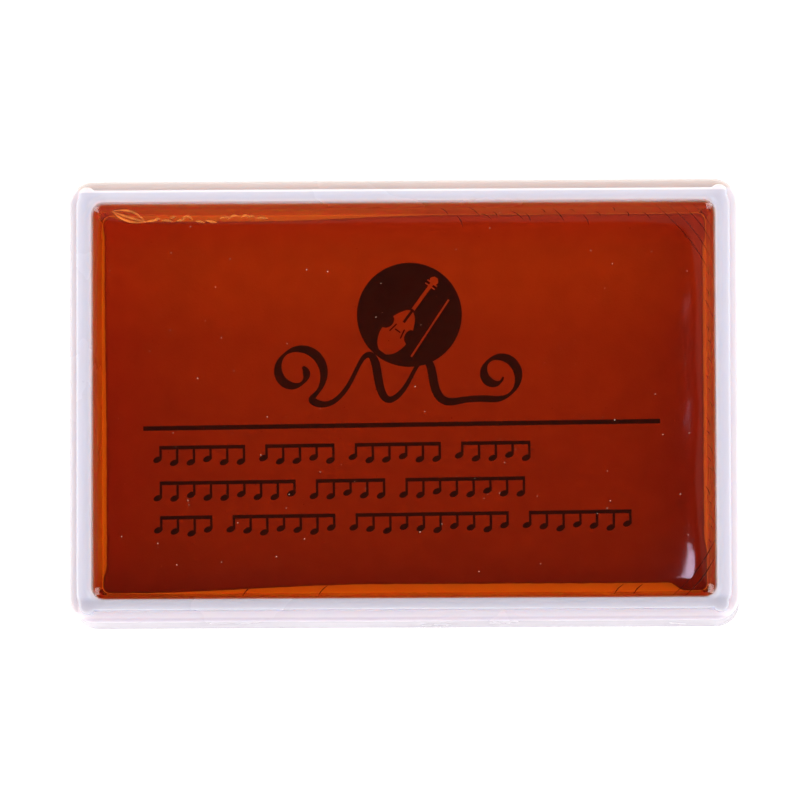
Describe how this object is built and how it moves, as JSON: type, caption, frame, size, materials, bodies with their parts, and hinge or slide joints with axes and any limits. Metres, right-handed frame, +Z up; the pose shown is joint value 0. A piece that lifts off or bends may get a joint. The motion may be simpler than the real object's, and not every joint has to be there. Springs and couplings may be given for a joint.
{
  "type": "rosin cake",
  "caption": "Rectangular block of translucent amber rosin cast over a printed card in a shallow, open, lipped plastic tray.",
  "frame": {"origin": "centre of the tray's underside", "axes": "+X along the length, +Y across the width towards the top of the printed card, +Z up out of the open mouth"},
  "size_m": [0.062, 0.041, 0.012],
  "materials": {
    "tray_plastic": "glossy moulded white",
    "rosin": "clear dark amber, smooth cast surface",
    "card": "matt white card with dark printed marks"
  },
  "bodies": {
    "root": {"tray": "tray_plastic", "rosin_cake": "rosin", "label_card": "card"}
  },
  "joints": []
}
